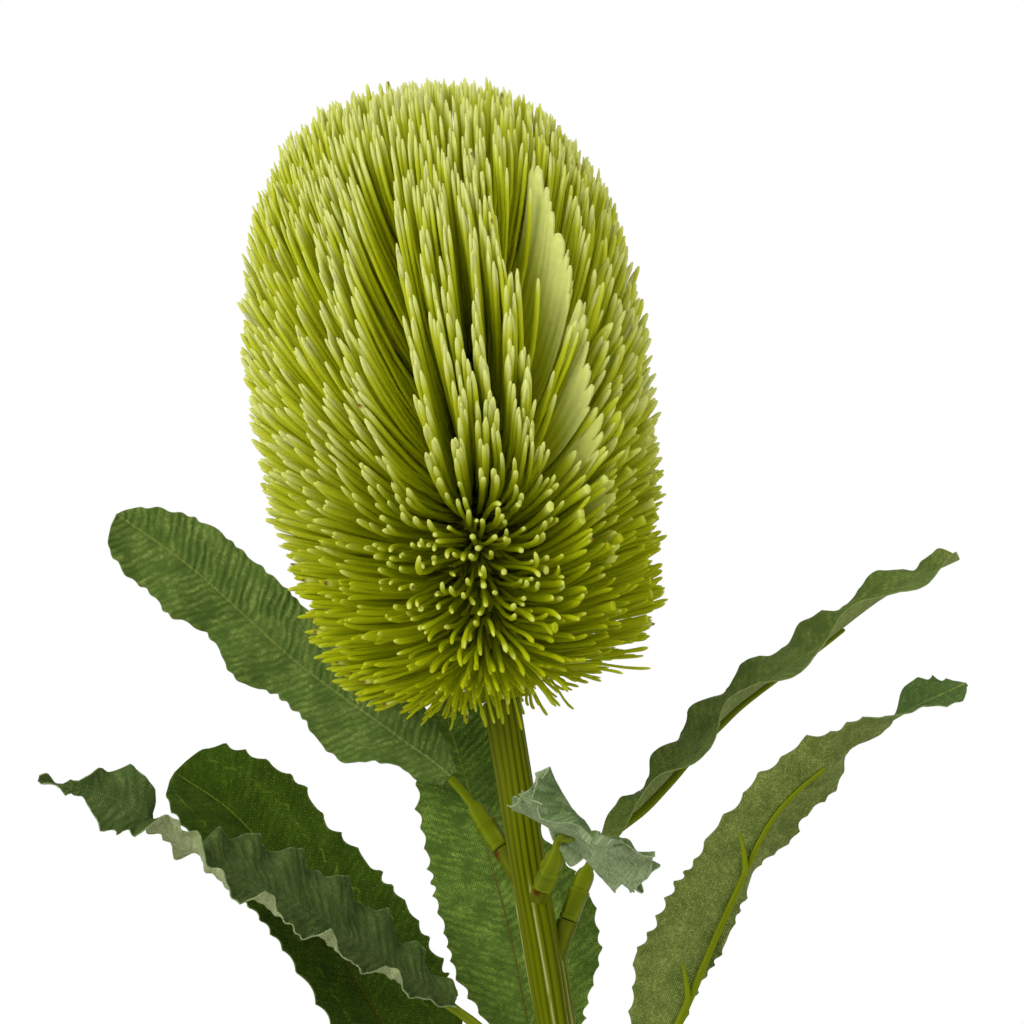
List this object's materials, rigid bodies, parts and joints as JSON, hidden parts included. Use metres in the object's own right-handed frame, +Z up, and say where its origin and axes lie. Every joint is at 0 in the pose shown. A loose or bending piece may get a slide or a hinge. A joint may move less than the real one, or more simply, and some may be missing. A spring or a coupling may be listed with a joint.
{
  "type": "banksia flower in vase",
  "caption": "Artificial banksia spray with a bristled flower head and seven toothed leaves, standing in a plain narrow-necked vase.",
  "frame": {"origin": "centre of the vase's foot, on the surface it stands on", "axes": "+Z up along the vase's axis; the spray leans towards -X, and -Y is the side it is seen from"},
  "size_m": [0.2172, 0.1441, 0.4972],
  "materials": {
    "vase_stoneware": "satin",
    "stem_plastic": "satin",
    "wire_steel": "satin",
    "core_plastic": "matte",
    "bristle_plastic": "satin",
    "spine_plastic": "satin",
    "leaf_fabric": "matte"
  },
  "bodies": {
    "root": {"bristle_whorl_01": "bristle_plastic", "bristle_whorl_02": "bristle_plastic", "bristle_whorl_03": "bristle_plastic", "bristle_whorl_04": "bristle_plastic", "bristle_whorl_05": "bristle_plastic", "bristle_whorl_06": "bristle_plastic", "bristle_whorl_07": "bristle_plastic", "bristle_whorl_08": "bristle_plastic", "bristle_whorl_09": "bristle_plastic", "bristle_whorl_10": "bristle_plastic", "bristle_whorl_11": "bristle_plastic", "bristle_whorl_12": "bristle_plastic", "bristle_whorl_13": "bristle_plastic", "crown_tuft": "bristle_plastic", "head_core": "core_plastic", "leaf_back_blade": "leaf_fabric", "leaf_back_spine": "spine_plastic", "leaf_front_blade": "leaf_fabric", "leaf_front_left_blade": "leaf_fabric", "leaf_front_left_spine": "spine_plastic", "leaf_front_spine": "spine_plastic", "leaf_lower_left_blade": "leaf_fabric", "leaf_lower_left_spine": "spine_plastic", "leaf_lower_right_blade": "leaf_fabric", "leaf_lower_right_spine": "spine_plastic", "leaf_upper_left_blade": "leaf_fabric", "leaf_upper_left_spine": "spine_plastic", "leaf_upper_right_blade": "leaf_fabric", "leaf_upper_right_spine": "spine_plastic", "stem": "stem_plastic", "stem_wire": "wire_steel", "vase": "vase_stoneware"}
  },
  "joints": []
}
